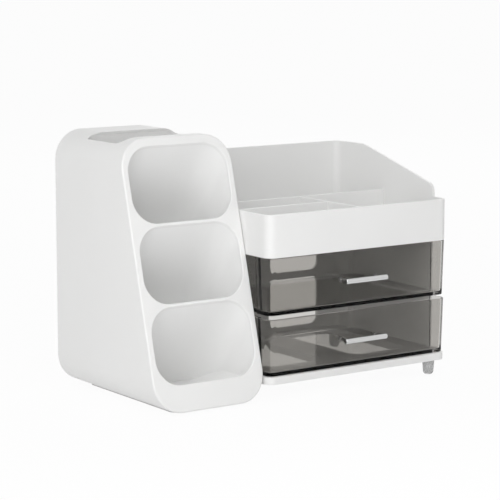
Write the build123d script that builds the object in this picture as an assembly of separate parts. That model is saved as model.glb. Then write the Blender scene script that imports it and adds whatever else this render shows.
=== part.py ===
from build123d import *
import math
import os

# Makeup organizer: a drawer unit with a tray on top, hung on a tower of slanted holders.
# Millimetres. While modelling, X is zero at the drawer unit's middle, Y at its front and Z at the ground.
# The finished pieces are moved so that the origin is the middle of the whole object's footprint.

# Clearances, and how far a cut runs past the face that it opens
plug_clearance = 0.1
running_clearance = 0.4
hook_clearance = 0.4
overrun = 6.0

# Drawer unit
unit_width = 200.0
unit_depth = 165.0
unit_corner_radius = 8.4
white_wall = 2.4
rim_round = 0.7

# Feet, on the unit's right side only
foot_height = 14.1
foot_top_diameter = 11.4
foot_shank_diameter = 9.6
foot_sole_diameter = 2.8
foot_peg_diameter = 6.0
foot_peg_length = 4.0
foot_side_inset = 13.6
foot_front_inset = 9.1
foot_rear_inset = 14.1

# Base plate
base_height = 6.6
base_skirt = 4.0
base_skin = 2.6
base_lip = 2.4
base_strip_width = 33.0
base_side_margin = 21.5
base_front_margin = 30.0
base_rear_margin = 14.0
base_window_radius = 10.0

# Side and back panels
right_panel_setback = 21.5
left_panel_setback = 38.0
tongue_length = 30.0
tongue_height = 2.0
tongue_place_shares = (0.2, 0.8)
tongue_wall_shares = (0.25, 0.75)
lap_width = 4.0
back_strip_width = 32.0
back_side_margin = 26.7
back_window_rise = 4.3
back_window_height = 44.2
back_window_radius = 7.6
rail_thickness = 1.8
rail_headroom = 1.0
stop_gap = 0.5
stop_width = 6.0
stop_thickness = 3.0

# Drawers
drawer_names = ("lower", "upper")
drawer_height = 49.9
drawer_rear_room = 29.0
drawer_wall = 2.5
drawer_floor = 2.8
drawer_draft = 1.3
drawer_reveal = 0.3
drawer_rear_radius = 8.0
drawer_inner_round = 1.6
drawer_rim_round = 0.6
drawer_foot_round = 0.8

# Handles
handle_length = 46.0
handle_diameter = 5.2
handle_projection = 7.7
handle_rise = 24.4
handle_end_round = 0.8
post_diameter = 3.8
post_inset = 3.6
post_socket_depth = 1.4
screw_diameter = 2.0
screw_head_diameter = 4.4
screw_head_height = 1.6
screw_grip = 5.0
screw_drive_width = 0.8
screw_drive_depth = 0.7

# Tray on top of the unit
tray_front_height = 37.4
tray_back_height = 77.3
tray_floor = 2.8
tray_inner_round = 2.0
right_step_setback = 19.0
right_step_rise = 10.9
right_step_foot_round = 1.5
right_step_round = 9.0
right_shoulder_length = 44.0
right_shoulder_round = 34.0
left_shoulder_length = 26.0
left_rise_run = 24.0
left_rise_round = 14.0

# Tray dividers
divider_thickness = 2.0
divider_seat = 1.2
cross_divider_setback = 92.0
short_divider_setback = 48.0

# Hooks on the unit's left panel; the low ones sit just above the tower's rounded lower corner
hook_width = 7.0
hook_stem_height = 3.0
hook_lip_thickness = 1.2
hook_lip_drop = 5.0
hook_lift = 6.0
front_hook_setback = 68.0
middle_hook_inset = 53.0
rear_hook_inset = 20.0
high_hook_rise = 80.0

# Tower
tower_gap = 0.5
tower_width = 111.7
tower_depth = 167.0
tower_height = 228.1
tower_corner_radius = 26.0
tower_lean = 14.8
tower_front_round = 1.6
tower_back_round = 0.8
opening_side_margin = 5.8
opening_top_margin = 7.2
opening_bottom_margin = 24.6
opening_land = 3.2
opening_radius = 22.5
opening_round = 0.9
well_front_margin = 11.0
well_reach_share = 0.57
well_side_margin = 10.0
well_radius = 5.5
well_depth = 48.0

# Slanted holders inside the tower
cup_names = ("lower", "middle", "upper")
cup_slope = 50.0
cup_depth = 92.0
cup_floor_room = 0.6
cup_end_round = 4.0

# Tower back cover and pad
cover_lip_depth = 8.0
cover_lip_wall = 1.6
pad_thickness = 1.8
pad_width = 66.0
pad_front_setback = 12.0
pad_rear_setback = 16.0
pad_radius = 6.0
pad_rise = 1.2

# Levels
base_top = foot_height + base_height
drawer_pitch = drawer_height + rail_headroom + rail_thickness + running_clearance
drawer_bottoms = [base_top + running_clearance + level * drawer_pitch for level in range(len(drawer_names))]
tray_bottom = drawer_bottoms[-1] + drawer_height + running_clearance
tray_floor_top = tray_bottom + tray_floor
tray_rim = tray_bottom + tray_front_height
tray_top = tray_bottom + tray_back_height

# Places across and along the unit
unit_side = unit_width / 2
wall_inside = unit_side - white_wall
lap_line = unit_side - unit_corner_radius
drawer_rear = unit_depth - drawer_rear_room
drawer_step = right_panel_setback - running_clearance

# Tower places and directions; the hooks keep to the depth that the unit and the tower share
shared_depth = min(unit_depth, tower_depth)
tower_right = -unit_side - tower_gap
tower_middle = tower_right - tower_width / 2
lean_sine = math.sin(math.radians(tower_lean))
lean_cosine = math.cos(math.radians(tower_lean))
front_plane = Plane(origin=(tower_middle, 0, 0), x_dir=(1, 0, 0), z_dir=(0, -lean_cosine, lean_sine))
cup_axis = Vector(0, math.cos(math.radians(cup_slope)), -math.sin(math.radians(cup_slope)))
opening_width = tower_width - 2 * opening_side_margin
opening_bottom = pad_thickness / lean_cosine + opening_bottom_margin
opening_top = tower_height / lean_cosine - opening_top_margin
opening_height = (opening_top - opening_bottom + opening_land) / len(cup_names) - opening_land
opening_shear = cup_axis.dot(front_plane.y_dir)
cup_wall = (opening_land * math.sqrt(1 - opening_shear**2) - 2 * plug_clearance) / 2
well_front = tower_height * lean_sine / lean_cosine + well_front_margin
well_rear = well_front + well_reach_share * (tower_depth - well_front)
well_width = tower_width - 2 * well_side_margin

# Origin: middle of the footprint of the whole object, handles included
middle_x = (unit_side + tower_right - tower_width) / 2
middle_y = (max(unit_depth, tower_depth) - handle_projection - handle_diameter / 2) / 2


def block(x_span, y_span, z_span):
    """Box between two corners, given as spans."""
    spans = (x_span, y_span, z_span)
    sizes = [max(span) - min(span) for span in spans]
    return Pos(*[sum(span) / 2 for span in spans]) * Box(*sizes)


def rounded_block(x_span, y_span, z_span, radius):
    """Upright prism on a rounded rectangle."""
    outline = RectangleRounded(max(x_span) - min(x_span), max(y_span) - min(y_span), radius)
    placed = Pos(sum(x_span) / 2, sum(y_span) / 2, min(z_span)) * outline
    return extrude(placed, max(z_span) - min(z_span), dir=(0, 0, 1))


def unit_block(inset, z_span):
    """The unit's rounded footprint, moved in by an inset."""
    side = unit_side - inset
    return rounded_block((-side, side), (inset, unit_depth - inset), z_span, unit_corner_radius - inset)


def rod(start, direction, diameter, length):
    """Round rod from a start point along a direction."""
    return Plane(origin=start, z_dir=direction) * Pos(0, 0, length / 2) * Cylinder(diameter / 2, length)


def grown(span, margin):
    """Span made longer by a margin at both ends."""
    return min(span) - margin, max(span) + margin


def foot_places():
    """Centres of the two feet."""
    x = unit_side - foot_side_inset
    return {"front": (x, foot_front_inset), "rear": (x, unit_depth - foot_rear_inset)}


def foot(x, y):
    """Tapered foot with a rounded sole, and the peg that holds it in the base plate."""
    shank = foot_shank_diameter / 2
    sole = foot_sole_diameter / 2
    turn = shank - sole
    with_side = Line((foot_top_diameter / 2, foot_height), (shank, turn))
    with_tip = RadiusArc((shank, turn), (sole, 0), turn)
    with_sole = Polyline((sole, 0), (0, 0), (0, foot_height), (foot_top_diameter / 2, foot_height))
    half = Plane.XZ * make_face([with_side, with_tip, with_sole])
    body = Pos(x, y, 0) * revolve(half, Axis.Z)
    return body + rod((x, y, foot_height), (0, 0, 1), foot_peg_diameter, foot_peg_length)


def panel_front(side):
    """Y where a side panel begins; the left one stays behind the tower's leaning front."""
    return left_panel_setback if side < 0 else right_panel_setback


def side_tongue_spans(side):
    """Plan spans of the tongues along a side panel, in the middle of its wall."""
    run = unit_depth - unit_corner_radius - panel_front(side)
    x_span = [side * (wall_inside + share * white_wall) for share in tongue_wall_shares]
    middles = [panel_front(side) + share * run for share in tongue_place_shares]
    return [(x_span, (y - tongue_length / 2, y + tongue_length / 2)) for y in middles]


def back_tongue_spans():
    """Plan spans of the tongues along the back panel."""
    y_span = [unit_depth - share * white_wall for share in tongue_wall_shares]
    middles = [lap_line * (2 * share - 1) for share in tongue_place_shares]
    return [((x - tongue_length / 2, x + tongue_length / 2), y_span) for x in middles]


def tongues(spans):
    """Tongues that reach down into the base plate and up into the tray."""
    lower = [block(x, y, (base_top - tongue_height, base_top)) for x, y in spans]
    upper = [block(x, y, (tray_bottom, tray_bottom + tongue_height)) for x, y in spans]
    return lower + upper


def tongue_grooves():
    """Grooves for every tongue, in the base plate and in the tray."""
    spans = side_tongue_spans(-1) + side_tongue_spans(1) + back_tongue_spans()
    reach = tongue_height + plug_clearance
    cuts = []
    for x_span, y_span in spans:
        x_cut = grown(x_span, plug_clearance)
        y_cut = grown(y_span, plug_clearance)
        cuts.append(block(x_cut, y_cut, (base_top - reach, base_top + overrun)))
        cuts.append(block(x_cut, y_cut, (tray_bottom - overrun, tray_bottom + reach)))
    return cuts


def base_windows(margin, z_span):
    """Two rounded windows of the base plate, made larger by a margin."""
    x_span = grown((base_strip_width / 2, unit_side - base_side_margin), margin)
    y_span = grown((base_front_margin, unit_depth - base_rear_margin), margin)
    right = rounded_block(x_span, y_span, z_span, base_window_radius + margin)
    left = rounded_block((-x_span[1], -x_span[0]), y_span, z_span, base_window_radius + margin)
    return [left, right]


def base_plate():
    """Plate with a skirt, a lip round each window and a boss over each foot, hollow underneath."""
    through = (foot_height - overrun, base_top + overrun)
    hollow_span = (foot_height - overrun, base_top - base_skin)
    plate = unit_block(0, (foot_height, base_top)) - base_windows(0, through)
    hollow = unit_block(base_skirt, hollow_span) - base_windows(base_lip, through)
    for x, y in foot_places().values():
        hollow -= rod((x, y, foot_height - overrun), (0, 0, 1), foot_top_diameter, base_height + overrun)
    plate -= hollow
    for x, y in foot_places().values():
        hole = foot_peg_diameter + 2 * plug_clearance
        depth = foot_peg_length + plug_clearance + overrun
        plate -= rod((x, y, foot_height - overrun), (0, 0, 1), hole, depth)
    return plate - tongue_grooves()


def wall_ring():
    """Upright wall round the unit between the base plate and the tray."""
    height = (base_top, tray_bottom)
    return unit_block(0, height) - unit_block(white_wall, grown(height, overrun))


def lap_zone(side, margin):
    """Inner half of the back wall where a side panel laps behind the back panel."""
    x_span = grown((side * lap_line, side * (lap_line - lap_width)), margin)
    y_span = (unit_depth - white_wall - overrun, unit_depth - white_wall / 2 + margin)
    return block(x_span, y_span, grown((base_top, tray_bottom), margin))


def side_panel(side):
    """Side panel with its rounded rear corner, wide drawer ledge, rear stop and tongues."""
    outside = unit_side + overrun
    height = grown((base_top, tray_bottom), overrun)
    depth = (panel_front(side), unit_depth + overrun)
    ring = wall_ring()
    panel = ring & block((side * lap_line, side * outside), depth, height)
    panel += ring & lap_zone(side, 0)
    rail_span = (side * wall_inside, side * (unit_side - base_side_margin))
    straight_end = unit_depth - unit_corner_radius
    for bottom in drawer_bottoms[1:]:
        ledge_top = bottom - running_clearance
        panel += block(rail_span, (panel_front(side), straight_end), (ledge_top - rail_thickness, ledge_top))
    stop_start = drawer_rear + stop_gap
    stop_span = (side * wall_inside, side * (wall_inside - stop_width))
    panel += block(stop_span, (stop_start, stop_start + stop_thickness), (base_top, tray_bottom))
    return panel + tongues(side_tongue_spans(side))


def hook_places():
    """Y of each hook's middle and Z of its stem's underside."""
    rear = shared_depth - rear_hook_inset
    middle = shared_depth - middle_hook_inset
    low = pad_thickness + tower_corner_radius + hook_lip_drop + hook_clearance
    high = base_top + high_hook_rise
    return [(front_hook_setback, low), (rear, low), (middle, high), (rear, high)]


def hooks():
    """Hooks on the left panel that drop behind the tower's wall."""
    lip_face = tower_right - white_wall - hook_clearance
    tip = lip_face - hook_lip_thickness
    made = []
    for y, z in hook_places():
        y_span = (y - hook_width / 2, y + hook_width / 2)
        made.append(block((tip, -unit_side), y_span, (z, z + hook_stem_height)))
        made.append(block((tip, lip_face), y_span, (z - hook_lip_drop, z + hook_stem_height)))
    return made


def hook_slots():
    """Slots in the tower's right wall, tall enough to lift the hooks out."""
    cuts = []
    for y, z in hook_places():
        y_span = grown((y - hook_width / 2, y + hook_width / 2), hook_clearance)
        z_span = (z - hook_clearance, z + hook_stem_height + hook_lift + hook_clearance)
        cuts.append(block((tower_right - white_wall - overrun / 2, tower_right + overrun), y_span, z_span))
    return cuts


def back_window_spans():
    """X and Z spans of the back panel's windows, two at each drawer level."""
    near = back_strip_width / 2
    far = unit_side - back_side_margin
    spans = []
    for bottom in drawer_bottoms:
        z_span = (bottom + back_window_rise, bottom + back_window_rise + back_window_height)
        spans += [((-far, -near), z_span), ((near, far), z_span)]
    return spans


def back_panel():
    """Back panel with its windows, lapped onto the side panels."""
    edge = lap_line - plug_clearance
    depth = grown((unit_depth - white_wall, unit_depth), overrun)
    panel = wall_ring() & block((-edge, edge), depth, grown((base_top, tray_bottom), overrun))
    panel -= [lap_zone(-1, plug_clearance), lap_zone(1, plug_clearance)]
    for x_span, z_span in back_window_spans():
        middle = (sum(x_span) / 2, unit_depth + overrun, sum(z_span) / 2)
        outline = RectangleRounded(max(x_span) - min(x_span), max(z_span) - min(z_span), back_window_radius)
        placed = Plane(origin=middle, x_dir=(1, 0, 0), z_dir=(0, -1, 0)) * outline
        panel -= extrude(placed, white_wall + 2 * overrun, dir=(0, -1, 0))
    return panel + tongues(back_tongue_spans())


def drawer_outline(inset, height):
    """Plan outline of a drawer: a wide front before the side panels, and a narrower body."""
    wide = unit_side - drawer_reveal - inset
    narrow = wall_inside - running_clearance - inset
    front_radius = unit_corner_radius - drawer_reveal - inset
    rear_radius = drawer_rear_radius - inset
    step = drawer_step - inset
    rear = drawer_rear - inset
    corners = [(-wide, inset), (wide, inset), (wide, step), (narrow, step), (narrow, rear)]
    corners += [(-narrow, rear), (-narrow, step), (-wide, step)]
    radii = [front_radius, front_radius, 0, 0, rear_radius, rear_radius, 0, 0]
    return Pos(0, 0, height) * make_face(FilletPolyline(*corners, radius=radii, close=True))


def drawer_block(bottom):
    """A drawer's drafted outside, before it is hollowed."""
    return loft([drawer_outline(drawer_draft, bottom), drawer_outline(0, bottom + drawer_height)], ruled=True)


def drawer_box(bottom):
    """Drawer with drafted walls, open on top, with the holes for its handle's screws."""
    top = bottom + drawer_height
    floor_top = bottom + drawer_floor
    draft_at_floor = drawer_draft * (top - floor_top) / drawer_height
    lower_inside = drawer_outline(drawer_wall + draft_at_floor, floor_top)
    inside = loft([lower_inside, drawer_outline(drawer_wall, top)], ruled=True)
    inside = fillet(inside.edges().group_by(Axis.Z)[0], drawer_inner_round)
    box = drawer_block(bottom) - inside
    box = fillet(box.edges().group_by(Axis.Z)[-1], drawer_rim_round)
    box = fillet(box.edges().group_by(Axis.Z)[0], drawer_foot_round)
    for x in post_places():
        hole = screw_diameter + 2 * plug_clearance
        box -= rod((x, -overrun, bottom + handle_rise), (0, 1, 0), hole, drawer_wall + 2 * overrun)
    return box


def front_face_at(bottom, height):
    """Y of a drawer's drafted front face at a height."""
    return drawer_draft * (1 - (height - bottom) / drawer_height)


def post_places():
    """X of the two posts of a handle."""
    reach = handle_length / 2 - post_inset
    return (-reach, reach)


def handle_bar(bottom):
    """Round bar with eased ends and a socket for each post."""
    z = bottom + handle_rise
    bar = rod((-handle_length / 2, -handle_projection, z), (1, 0, 0), handle_diameter, handle_length)
    bar = fillet(bar.edges().filter_by(GeomType.CIRCLE), handle_end_round)
    back_of_bar = handle_diameter / 2
    for x in post_places():
        socket = post_diameter + 2 * plug_clearance
        start = (x, -handle_projection + back_of_bar - post_socket_depth, z)
        bar -= rod(start, (0, 1, 0), socket, post_socket_depth + overrun)
    return bar


def handle_posts(bottom):
    """Two posts between the bar and the drawer's front, bored for the screws."""
    z = bottom + handle_rise
    start = -handle_projection + handle_diameter / 2 - post_socket_depth + plug_clearance
    face = front_face_at(bottom, z)
    seat = drawer_block(bottom)
    posts = []
    for x in post_places():
        post = rod((x, start, z), (0, 1, 0), post_diameter, face + drawer_draft - start) - seat
        bore = screw_diameter + 2 * plug_clearance
        length = screw_grip + plug_clearance + overrun
        post -= rod((x, face - screw_grip - plug_clearance, z), (0, 1, 0), bore, length)
        posts.append(post)
    return Compound(children=posts)


def handle_screws(bottom):
    """Two slotted screws that hold the posts from inside the drawer."""
    z = bottom + handle_rise
    face = front_face_at(bottom, z)
    seat = face + drawer_wall + plug_clearance
    screws = []
    for x in post_places():
        screw = rod((x, face - screw_grip, z), (0, 1, 0), screw_diameter, seat - face + screw_grip)
        screw += rod((x, seat, z), (0, 1, 0), screw_head_diameter, screw_head_height)
        top = seat + screw_head_height
        x_span = grown((x, x), screw_head_diameter)
        z_span = (z - screw_drive_width / 2, z + screw_drive_width / 2)
        screws.append(screw - block(x_span, (top - screw_drive_depth, top + overrun), z_span))
    return Compound(children=screws)


def profile_cut(points, radii, x_span):
    """Everything above a rim profile of Y and Z points from front to back, between two X values."""
    high = tray_top + overrun
    rim = [(-overrun, points[0][1])] + points + [(unit_depth + overrun, points[-1][1])]
    corners = rim + [(unit_depth + overrun, high), (-overrun, high)]
    outline = make_face(FilletPolyline(*corners, radius=[0] + radii + [0, 0, 0], close=True))
    placed = Plane(origin=(min(x_span), 0, 0), x_dir=(0, 1, 0), z_dir=(1, 0, 0)) * outline
    return extrude(placed, max(x_span) - min(x_span), dir=(1, 0, 0))


def tray_rim_cuts():
    """Cuts that leave the front and left walls low and let the right wall climb to the back."""
    shoulder = unit_depth - right_shoulder_length
    right_points = [(right_step_setback, tray_rim), (right_step_setback, tray_rim + right_step_rise)]
    right_points += [(shoulder, tray_top)]
    right_radii = [right_step_foot_round, right_step_round, right_shoulder_round]
    left_top = unit_depth - left_shoulder_length
    left_points = [(left_top - left_rise_run, tray_rim), (left_top, tray_top)]
    left_radii = [left_rise_round, left_rise_round]
    outside = unit_side + overrun
    right = profile_cut(right_points, right_radii, (lap_line, outside))
    left = profile_cut(left_points, left_radii, (-outside, lap_line))
    return [left, right]


def divider_spans():
    """X and Y spans of the tray's dividers, between the walls that they stop at."""
    half = divider_thickness / 2
    left_wall = -wall_inside + plug_clearance
    right_wall = wall_inside - plug_clearance
    front_wall = white_wall + plug_clearance
    centre = (-half, half)
    cross = (cross_divider_setback - half, cross_divider_setback + half)
    short = (short_divider_setback - half, short_divider_setback + half)
    return {
        "tray_cross_divider": ((left_wall, right_wall), cross),
        "tray_centre_divider": (centre, (front_wall, cross[0] - plug_clearance)),
        "tray_short_divider": ((left_wall, centre[0] - plug_clearance), short),
    }


def tray_divider(x_span, y_span):
    """Plate that stands in a groove of the tray's floor, with its top edge eased."""
    z_span = (tray_floor_top - divider_seat, tray_rim)
    plate = block(x_span, y_span, z_span)
    long_axis = Axis.X if max(x_span) - min(x_span) > divider_thickness else Axis.Y
    top_edges = plate.edges().filter_by(long_axis).group_by(Axis.Z)[-1]
    return fillet(top_edges, rim_round)


def top_tray():
    """Tray with rounded corners, its climbing rim, and the grooves for its dividers and the panels."""
    inside = unit_block(white_wall, (tray_floor_top, tray_top + overrun))
    inside = fillet(inside.edges().group_by(Axis.Z)[0], tray_inner_round)
    tray = unit_block(0, (tray_bottom, tray_top)) - inside - tray_rim_cuts()
    rims = [edge for edge in tray.edges() if edge.bounding_box().min.Z > tray_rim - plug_clearance]
    tray = fillet(rims, rim_round)
    for x_span, y_span in divider_spans().values():
        low = tray_floor_top - divider_seat
        groove = block(grown(x_span, plug_clearance), grown(y_span, plug_clearance), (low, tray_rim))
        tray -= groove & unit_block(white_wall, (low, tray_rim))
    return tray - tongue_grooves()


def tower_section(inset, y_span):
    """The tower's rounded upright section, moved in by an inset and drawn out from front to back."""
    width = tower_width - 2 * inset
    height = tower_height - pad_thickness - 2 * inset
    middle = (tower_middle, min(y_span), (tower_height + pad_thickness) / 2)
    outline = RectangleRounded(width, height, tower_corner_radius - inset)
    placed = Plane(origin=middle, x_dir=(1, 0, 0), z_dir=(0, 1, 0)) * outline
    return extrude(placed, max(y_span) - min(y_span), dir=(0, 1, 0))


def behind_front(inset, rear):
    """Everything behind the tower's leaning front, moved back by an inset, up to a rear plane."""
    low = -overrun
    high = tower_height + overrun
    slope = lean_sine / lean_cosine
    shift = inset / lean_cosine
    corners = [(low * slope + shift, low), (rear, low), (rear, high), (high * slope + shift, high)]
    outline = make_face(Polyline(*corners, close=True))
    left = tower_middle - tower_width / 2 - overrun
    placed = Plane(origin=(left, 0, 0), x_dir=(0, 1, 0), z_dir=(1, 0, 0)) * outline
    return extrude(placed, tower_width + 2 * overrun, dir=(1, 0, 0))


def opening_mouth(level):
    """Plane in the middle of one of the front openings."""
    up = opening_bottom + opening_height / 2 + level * (opening_height + opening_land)
    return Plane(origin=front_plane.origin + front_plane.y_dir * up, x_dir=(1, 0, 0), z_dir=front_plane.z_dir)


def well_mouth():
    """Plane in the middle of the hole in the tower's top."""
    return Plane(origin=(tower_middle, (well_front + well_rear) / 2, tower_height), z_dir=(0, 0, 1))


def slanted_prism(mouth, width, height, radius, wall):
    """Long prism that passes through a mouth along the holders' slant, made larger by a wall."""
    shear = cup_axis.dot(mouth.y_dir)
    tall = wall / math.sqrt(1 - shear**2)
    outline = RectangleRounded(width + 2 * wall, height + 2 * tall, radius + wall)
    start = Plane(origin=mouth.origin - cup_axis * overrun, x_dir=mouth.x_dir, z_dir=mouth.z_dir)
    return extrude(start * outline, tower_height, dir=cup_axis)


def square_end(mouth, depth):
    """Plane square to the slant, at a depth below a mouth."""
    return Plane(origin=mouth.origin + cup_axis * depth, z_dir=cup_axis)


def floor_end(mouth):
    """Level plane just above the tower's floor."""
    height = pad_thickness + white_wall + cup_floor_room
    return Plane(origin=(mouth.origin.X, mouth.origin.Y, height), z_dir=(0, 0, -1))


def beyond(end, inset):
    """Everything past an end plane, moved in by an inset."""
    return end * Pos(0, 0, tower_height / 2 - inset) * Box(tower_height, tower_height, tower_height)


def holder_room():
    """Space for the holders inside the tower's shell."""
    sleeve = tower_section(white_wall + plug_clearance, (0, tower_depth))
    return sleeve & behind_front(white_wall, tower_depth)


def slanted_cup(mouth, width, height, radius, end):
    """Holder that ends at a plane, seated against the inside of the tower's shell."""
    outside = slanted_prism(mouth, width, height, radius, cup_wall) - beyond(end, 0)
    inside = slanted_prism(mouth, width, height, radius, 0) - beyond(end, cup_wall)
    floor_face = inside.faces().sort_by(Axis(mouth.origin, cup_axis))[-1]
    inside = fillet(floor_face.edges(), cup_end_round)
    return (outside - inside) & holder_room()


def opening_cup(level):
    """Holder behind a front opening; the lowest stands on the tower's floor and lines its corners."""
    mouth = opening_mouth(level)
    size = (opening_width, opening_height, opening_radius)
    if level > 0:
        return slanted_cup(mouth, *size, square_end(mouth, cup_depth))
    end = floor_end(mouth)
    inner_room = tower_section(white_wall + plug_clearance + cup_wall, (0, tower_depth))
    corners = (holder_room() - inner_room) & (slanted_prism(mouth, *size, 0) - beyond(end, cup_wall))
    return slanted_cup(mouth, *size, end) + corners


def brush_well():
    """Holder under the hole in the tower's top."""
    mouth = well_mouth()
    return slanted_cup(mouth, well_width, well_rear - well_front, well_radius, square_end(mouth, well_depth))


def tower_shell():
    """Sleeve open at the back, with a leaning front, three openings, the top hole and the hook slots."""
    shell = tower_section(0, (-overrun, tower_depth)) & behind_front(0, tower_depth)
    room = tower_section(white_wall, (-overrun, tower_depth + overrun))
    shell -= room & behind_front(white_wall, tower_depth + overrun)
    back_edges = shell.faces().sort_by(Axis.Y)[-1].outer_wire().edges()
    shell = fillet(back_edges, tower_back_round)
    front = leaning_face(shell)
    shell = fillet(front.outer_wire().edges(), tower_front_round)
    for level in range(len(cup_names)):
        mouth = opening_mouth(level)
        hole = slanted_prism(mouth, opening_width, opening_height, opening_radius, 0)
        shell -= hole - behind_front(white_wall + overrun, tower_depth + overrun)
    rims = [edge for wire in leaning_face(shell).inner_wires() for edge in wire.edges()]
    shell = fillet(rims, opening_round)
    mouth = well_mouth()
    hole = slanted_prism(mouth, well_width, well_rear - well_front, well_radius, 0)
    shell -= hole - beyond(square_end(mouth, well_front_margin + tower_corner_radius), 0)
    return shell - hook_slots()


def leaning_face(shell):
    """The shell's outer front face."""
    faces = [face for face in shell.faces() if face.normal_at().dot(front_plane.z_dir) > lean_cosine]
    return max(faces, key=lambda face: face.area)


def tower_back_cover():
    """Plate that fits into the back of the shell, with a lip along its edge."""
    inset = white_wall + plug_clearance
    plate = tower_section(inset, (tower_depth - white_wall, tower_depth))
    lip_span = (tower_depth - white_wall - cover_lip_depth, tower_depth - white_wall)
    lip = tower_section(inset, lip_span) - tower_section(inset + cover_lip_wall, grown(lip_span, overrun))
    return plate + lip


def tower_pad():
    """Pad under the tower, hollowed to its rounded underside."""
    half = pad_width / 2
    x_span = (tower_middle - half, tower_middle + half)
    y_span = (pad_front_setback, tower_depth - pad_rear_setback)
    pad = rounded_block(x_span, y_span, (0, pad_thickness + pad_rise), pad_radius)
    return pad - tower_section(-plug_clearance, grown((0, tower_depth), overrun))


def pieces():
    """Every piece of the object by name."""
    made = {"base_plate": base_plate()}
    for name, (x, y) in foot_places().items():
        made[name + "_foot"] = foot(x, y)
    made["left_side_panel"] = side_panel(-1) + hooks()
    made["right_side_panel"] = side_panel(1)
    made["back_panel"] = back_panel()
    made["top_tray"] = top_tray()
    for name, (x_span, y_span) in divider_spans().items():
        made[name] = tray_divider(x_span, y_span)
    for name, bottom in zip(drawer_names, drawer_bottoms):
        made[name + "_drawer"] = drawer_box(bottom)
        made[name + "_handle_bar"] = handle_bar(bottom)
        made[name + "_handle_posts"] = handle_posts(bottom)
        made[name + "_handle_screws"] = handle_screws(bottom)
    made["tower_shell"] = tower_shell()
    for level, name in enumerate(cup_names):
        made[name + "_cup"] = opening_cup(level)
    made["brush_well"] = brush_well()
    made["tower_back_cover"] = tower_back_cover()
    made["tower_pad"] = tower_pad()
    return made


os.makedirs("parts", exist_ok=True)
for node, shape in pieces().items():
    export_step(Pos(-middle_x, -middle_y, 0) * shape, f"parts/{node}.step")
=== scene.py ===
import math

import bpy
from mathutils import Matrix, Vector

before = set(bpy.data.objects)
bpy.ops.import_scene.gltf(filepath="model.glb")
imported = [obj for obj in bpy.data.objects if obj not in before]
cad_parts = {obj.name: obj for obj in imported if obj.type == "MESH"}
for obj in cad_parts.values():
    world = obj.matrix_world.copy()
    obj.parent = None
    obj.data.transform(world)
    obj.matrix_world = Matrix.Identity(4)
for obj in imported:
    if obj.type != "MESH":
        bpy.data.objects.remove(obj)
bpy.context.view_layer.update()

# Camera: the photograph's viewpoint, in metres in the object's frame
IMAGE_PIXELS = 500
SENSOR_MM = 36.0
FOCAL_PIXELS = 2004.2
CAMERA_PLACE = (-1.0243, -1.4487, 0.3918)
CAMERA_TURN = math.radians(35.04)
CAMERA_DIP = math.radians(8.75)
CAMERA_REACH = 50.0

# Surround and floor, metres; the floor reaches past the top of the picture
AMBIENT_STRENGTH = 0.49
SHOWN_STRENGTH = 1.0
WHITE = (1.0, 1.0, 1.0, 1.0)
FLOOR_SHADOW_SHARE = 0.05
FLOOR_SIZE = 60.0
FLOOR_DROP = 0.0004
FLOOR_COLOUR = (0.92, 0.92, 0.92, 1.0)

# Lamps: place and aim in metres, side in metres, power in watts, spread in degrees
OBJECT_AIM = (0.0, 0.0, 0.1)
LAMPS = {
    "key": ((-0.95, -1.55, 1.25), OBJECT_AIM, 1.4, 9.0, 180.0),
    "side_fill": ((-1.58, -1.22, 0.36), OBJECT_AIM, 1.4, 12.0, 180.0),
    "floor_bounce": ((-0.40, -0.75, 1.0), (-0.40, -0.751, 0.0), 0.9, 1.5, 60.0),
    "back_fill": ((1.45, 1.35, 1.30), OBJECT_AIM, 1.0, 6.0, 180.0),
}

# Part of a noise factor's range that tones and values are spread over, and the stretch of an even noise
NOISE_SPAN = (0.2, 0.8)
EVEN = (1.0, 1.0, 1.0)

# White plastics: two close linear tones that each drifts between, roughness and strength of the grain
SHELL_TONES = ((0.888, 0.888, 0.880), (0.900, 0.900, 0.893))
# The cups' tones are whiter than the shell's, though they are the same plastic: painted light that lifts
# the shade inside the tower's openings
CUP_PAINTED_LIGHT_TONES = ((0.940, 0.940, 0.934), (0.950, 0.950, 0.945))
WHITES = {
    "unit_white": (SHELL_TONES, 0.36, 0.05),
    "tower_white": (SHELL_TONES, 0.38, 0.10),
    "cup_white_painted_light": (CUP_PAINTED_LIGHT_TONES, 0.38, 0.08),
}
WHITE_IOR = 1.49
ROUGHNESS_DRIFT = 0.03
FLOW_SCALE, FLOW_DETAIL = 16.0, 1.0
GRAIN_SCALE, GRAIN_DETAIL = 2600.0, 2.0
GRAIN_HEIGHT = 0.0001

# Smoky plastic
SMOKE_TINT = (0.674, 0.662, 0.641, 1.0)
SMOKE_ABSORPTION = (0.05, 0.05, 0.05, 1.0)
SMOKE_DENSITY = 25.0
SMOKE_IOR = 1.2
SMOKE_ROUGHNESS = (0.0, 0.03)
WAVE_SCALE, WAVE_DETAIL = 30.0, 1.0
WAVE_STRENGTH, WAVE_HEIGHT = 0.02, 0.001

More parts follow.
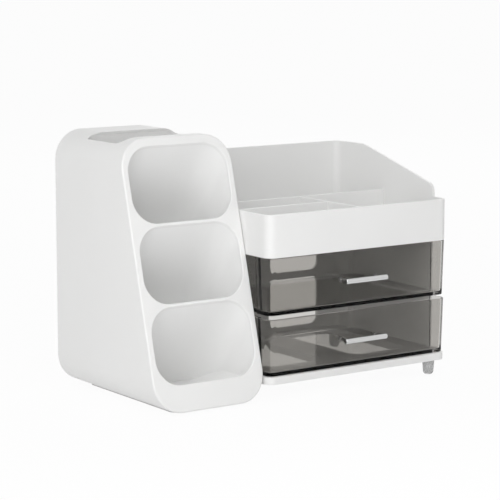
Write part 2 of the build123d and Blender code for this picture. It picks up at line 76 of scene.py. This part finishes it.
# Finishes whose tone follows one noise, and with it the roughness and the surface where these are given:
# polished chrome with lengthwise lines, plated steel, a cloudy translucent foot and pale, fine-celled foam
FINISHES = {
    "chrome": {
        "scale": 900.0, "detail": 2.0, "stretch": (0.02, 1.0, 1.0),
        "tones": ((0.55, 0.55, 0.55), (0.64, 0.64, 0.64)),
        "roughness": (0.10, 0.20), "bump": (0.03, 0.0001),
        "sockets": {"Metallic": 1.0},
    },
    "screw_steel": {
        "scale": 1500.0, "detail": 3.0,
        "tones": ((0.42, 0.42, 0.43), (0.58, 0.58, 0.59)),
        "roughness": (0.25, 0.40),
        "sockets": {"Metallic": 1.0},
    },
    "clear_foot": {
        "scale": 220.0, "detail": 3.0,
        "tones": ((0.46, 0.46, 0.46), (0.60, 0.60, 0.60)),
        "roughness": (0.18, 0.32),
        "sockets": {"Transmission Weight": 0.65, "IOR": 1.45},
    },
    "pad_foam": {
        "scale": 1800.0, "detail": 4.0,
        "tones": ((0.70, 0.70, 0.69), (0.80, 0.80, 0.79)),
        "bump": (0.4, 0.0002),
        "sockets": {"Roughness": 0.85},
    },
}


def new_material(name):
    """Empty node material with its output."""
    material = bpy.data.materials.new(name)
    material.use_nodes = True
    tree = material.node_tree
    tree.nodes.clear()
    return material, tree, tree.nodes.new("ShaderNodeOutputMaterial")


def object_noise(tree, scale, detail, stretch=EVEN):
    """Noise fixed to the object, in metres, and its factor socket."""
    place = tree.nodes.new("ShaderNodeTexCoord")
    mapping = tree.nodes.new("ShaderNodeMapping")
    mapping.inputs["Scale"].default_value = stretch
    noise = tree.nodes.new("ShaderNodeTexNoise")
    noise.inputs["Scale"].default_value = scale
    noise.inputs["Detail"].default_value = detail
    tree.links.new(place.outputs["Object"], mapping.inputs["Vector"])
    tree.links.new(mapping.outputs["Vector"], noise.inputs["Vector"])
    return noise.outputs["Fac"]


def ranged(tree, source, low, high):
    """Noise factor spread onto a range."""
    node = tree.nodes.new("ShaderNodeMapRange")
    node.inputs["From Min"].default_value = NOISE_SPAN[0]
    node.inputs["From Max"].default_value = NOISE_SPAN[1]
    node.inputs["To Min"].default_value = low
    node.inputs["To Max"].default_value = high
    tree.links.new(source, node.inputs["Value"])
    return node.outputs["Result"]


def two_tone(tree, source, first, second):
    """Colour that drifts between two tones."""
    ramp = tree.nodes.new("ShaderNodeValToRGB")
    ramp.color_ramp.interpolation = "EASE"
    for element, place, tone in zip(ramp.color_ramp.elements, NOISE_SPAN, (first, second)):
        element.position = place
        element.color = (*tone, 1.0)
    tree.links.new(source, ramp.inputs["Fac"])
    return ramp.outputs["Color"]


def bumped(tree, source, strength, distance):
    """Normal disturbed by a height."""
    bump = tree.nodes.new("ShaderNodeBump")
    bump.inputs["Strength"].default_value = strength
    bump.inputs["Distance"].default_value = distance
    tree.links.new(source, bump.inputs["Height"])
    return bump.outputs["Normal"]


def larger(tree, first, second):
    """Larger of two factors."""
    node = tree.nodes.new("ShaderNodeMath")
    node.operation = "MAXIMUM"
    tree.links.new(first, node.inputs[0])
    tree.links.new(second, node.inputs[1])
    return node.outputs["Value"]


def mixed(tree, output, factor, first, second):
    """Mix of two shader outputs, joined to the surface."""
    mix = tree.nodes.new("ShaderNodeMixShader")
    tree.links.new(factor, mix.inputs["Fac"])
    tree.links.new(first, mix.inputs[1])
    tree.links.new(second, mix.inputs[2])
    tree.links.new(mix.outputs["Shader"], output.inputs["Surface"])


def principled(tree, output):
    """Principled shader joined to the surface."""
    shader = tree.nodes.new("ShaderNodeBsdfPrincipled")
    tree.links.new(shader.outputs["BSDF"], output.inputs["Surface"])
    return shader


def white_plastic(name):
    """Satin white moulded plastic: faint flow marks in its tone, fine spark-eroded grain in its surface."""
    tones, roughness, grain = WHITES[name]
    material, tree, output = new_material(name)
    shader = principled(tree, output)
    flow = object_noise(tree, FLOW_SCALE, FLOW_DETAIL)
    fine = object_noise(tree, GRAIN_SCALE, GRAIN_DETAIL)
    rough = ranged(tree, flow, roughness - ROUGHNESS_DRIFT, roughness + ROUGHNESS_DRIFT)
    tree.links.new(two_tone(tree, flow, *tones), shader.inputs["Base Color"])
    tree.links.new(rough, shader.inputs["Roughness"])
    tree.links.new(bumped(tree, fine, grain, GRAIN_HEIGHT), shader.inputs["Normal"])
    shader.inputs["IOR"].default_value = WHITE_IOR
    return material


def smoke_plastic():
    """Clear smoky plastic, faintly wavy as moulded sheet is, that lets light through to what is behind."""
    material, tree, output = new_material("smoke_plastic")
    shader = tree.nodes.new("ShaderNodeBsdfPrincipled")
    clear = tree.nodes.new("ShaderNodeBsdfTransparent")
    path = tree.nodes.new("ShaderNodeLightPath")
    passing = larger(tree, path.outputs["Is Shadow Ray"], path.outputs["Is Diffuse Ray"])
    mixed(tree, output, passing, shader.outputs["BSDF"], clear.outputs["BSDF"])
    shader.inputs["Base Color"].default_value = SMOKE_TINT
    shader.inputs["Transmission Weight"].default_value = 1.0
    shader.inputs["IOR"].default_value = SMOKE_IOR
    wave = object_noise(tree, WAVE_SCALE, WAVE_DETAIL)
    tree.links.new(ranged(tree, wave, *SMOKE_ROUGHNESS), shader.inputs["Roughness"])
    tree.links.new(bumped(tree, wave, WAVE_STRENGTH, WAVE_HEIGHT), shader.inputs["Normal"])
    volume = tree.nodes.new("ShaderNodeVolumeAbsorption")
    volume.inputs["Color"].default_value = SMOKE_ABSORPTION
    volume.inputs["Density"].default_value = SMOKE_DENSITY
    tree.links.new(volume.outputs["Volume"], output.inputs["Volume"])
    return material


def finish_material(name):
    """Material from the table of finishes."""
    look = FINISHES[name]
    material, tree, output = new_material(name)
    shader = principled(tree, output)
    noise = object_noise(tree, look["scale"], look["detail"], look.get("stretch", EVEN))
    tree.links.new(two_tone(tree, noise, *look["tones"]), shader.inputs["Base Color"])
    for socket, value in look["sockets"].items():
        shader.inputs[socket].default_value = value
    if "roughness" in look:
        tree.links.new(ranged(tree, noise, *look["roughness"]), shader.inputs["Roughness"])
    if "bump" in look:
        tree.links.new(bumped(tree, noise, *look["bump"]), shader.inputs["Normal"])
    return material


def dress(material, *names):
    """Gives CAD nodes a material."""
    for name in names:
        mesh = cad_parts[name].data
        mesh.materials.clear()
        mesh.materials.append(material)


def shown_factor(tree, share):
    """Factor that is a share on rays that show the background, and zero on rays that carry its light."""
    path = tree.nodes.new("ShaderNodeLightPath")
    total = path.outputs["Is Camera Ray"]
    for ray in ("Is Glossy Ray", "Is Transmission Ray"):
        total = larger(tree, total, path.outputs[ray])
    scaled = tree.nodes.new("ShaderNodeMath")
    scaled.operation = "MULTIPLY"
    scaled.inputs[1].default_value = share
    tree.links.new(total, scaled.inputs[0])
    return scaled.outputs["Value"]


def make_world():
    """Even white surround, shown at full white and lighting at the ambient level."""
    world = bpy.data.worlds.new("surround")
    bpy.context.scene.world = world
    world.use_nodes = True
    tree = world.node_tree
    tree.nodes.clear()
    output = tree.nodes.new("ShaderNodeOutputWorld")
    light = tree.nodes.new("ShaderNodeBackground")
    light.inputs["Strength"].default_value = AMBIENT_STRENGTH
    shown = tree.nodes.new("ShaderNodeBackground")
    shown.inputs["Strength"].default_value = SHOWN_STRENGTH
    for node in (light, shown):
        node.inputs["Color"].default_value = WHITE
    mixed(tree, output, shown_factor(tree, 1.0), light.outputs["Background"], shown.outputs["Background"])


def make_floor():
    """Pale floor that shows white and keeps part of the object's shadow."""
    mesh = bpy.data.meshes.new("floor")
    half = FLOOR_SIZE / 2
    corners = [(-half, -half, -FLOOR_DROP), (half, -half, -FLOOR_DROP),
               (half, half, -FLOOR_DROP), (-half, half, -FLOOR_DROP)]
    mesh.from_pydata(corners, [], [(0, 1, 2, 3)])
    floor = bpy.data.objects.new("floor", mesh)
    bpy.context.scene.collection.objects.link(floor)
    material, tree, output = new_material("floor")
    diffuse = tree.nodes.new("ShaderNodeBsdfDiffuse")
    diffuse.inputs["Color"].default_value = FLOOR_COLOUR
    glow = tree.nodes.new("ShaderNodeEmission")
    shown = shown_factor(tree, 1.0 - FLOOR_SHADOW_SHARE)
    mixed(tree, output, shown, diffuse.outputs["BSDF"], glow.outputs["Emission"])
    mesh.materials.append(material)


def softbox(name, place, aim, size, power, spread):
    """Large square lamp that looks at a point."""
    lamp = bpy.data.lights.new(name, "AREA")
    lamp.spread = math.radians(spread)
    lamp.shape = "SQUARE"
    lamp.size = size
    lamp.energy = power
    holder = bpy.data.objects.new(name, lamp)
    holder.location = place
    holder.rotation_mode = "QUATERNION"
    holder.rotation_quaternion = (Vector(aim) - Vector(place)).to_track_quat("-Z", "Y")
    bpy.context.scene.collection.objects.link(holder)


def make_camera():
    """Camera at the photograph's viewpoint."""
    data = bpy.data.cameras.new("camera")
    data.sensor_width = SENSOR_MM
    data.lens = FOCAL_PIXELS / IMAGE_PIXELS * SENSOR_MM
    data.clip_end = CAMERA_REACH
    camera = bpy.data.objects.new("camera", data)
    camera.location = CAMERA_PLACE
    camera.rotation_euler = (math.pi / 2 - CAMERA_DIP, 0.0, -CAMERA_TURN)
    bpy.context.scene.collection.objects.link(camera)
    bpy.context.scene.camera = camera


unit_white = white_plastic("unit_white")
dress(white_plastic("tower_white"), "tower_shell", "tower_back_cover")
# The cups get the whiter tones: painted light that lifts the shade inside the openings
dress(white_plastic("cup_white_painted_light"), "lower_cup", "middle_cup", "upper_cup", "brush_well")
dress(unit_white, "base_plate", "left_side_panel", "right_side_panel", "back_panel", "top_tray")
dress(unit_white, "tray_cross_divider", "tray_centre_divider", "tray_short_divider")
dress(smoke_plastic(), "lower_drawer", "upper_drawer")
chrome = finish_material("chrome")
dress(chrome, "lower_handle_bar", "upper_handle_bar", "lower_handle_posts", "upper_handle_posts")
dress(finish_material("screw_steel"), "lower_handle_screws", "upper_handle_screws")
dress(finish_material("clear_foot"), "front_foot", "rear_foot")
dress(finish_material("pad_foam"), "tower_pad")

make_world()
make_floor()
make_camera()
for lamp_name, lamp_values in LAMPS.items():
    softbox(lamp_name, *lamp_values)
bpy.context.scene.view_settings.view_transform = "Standard"
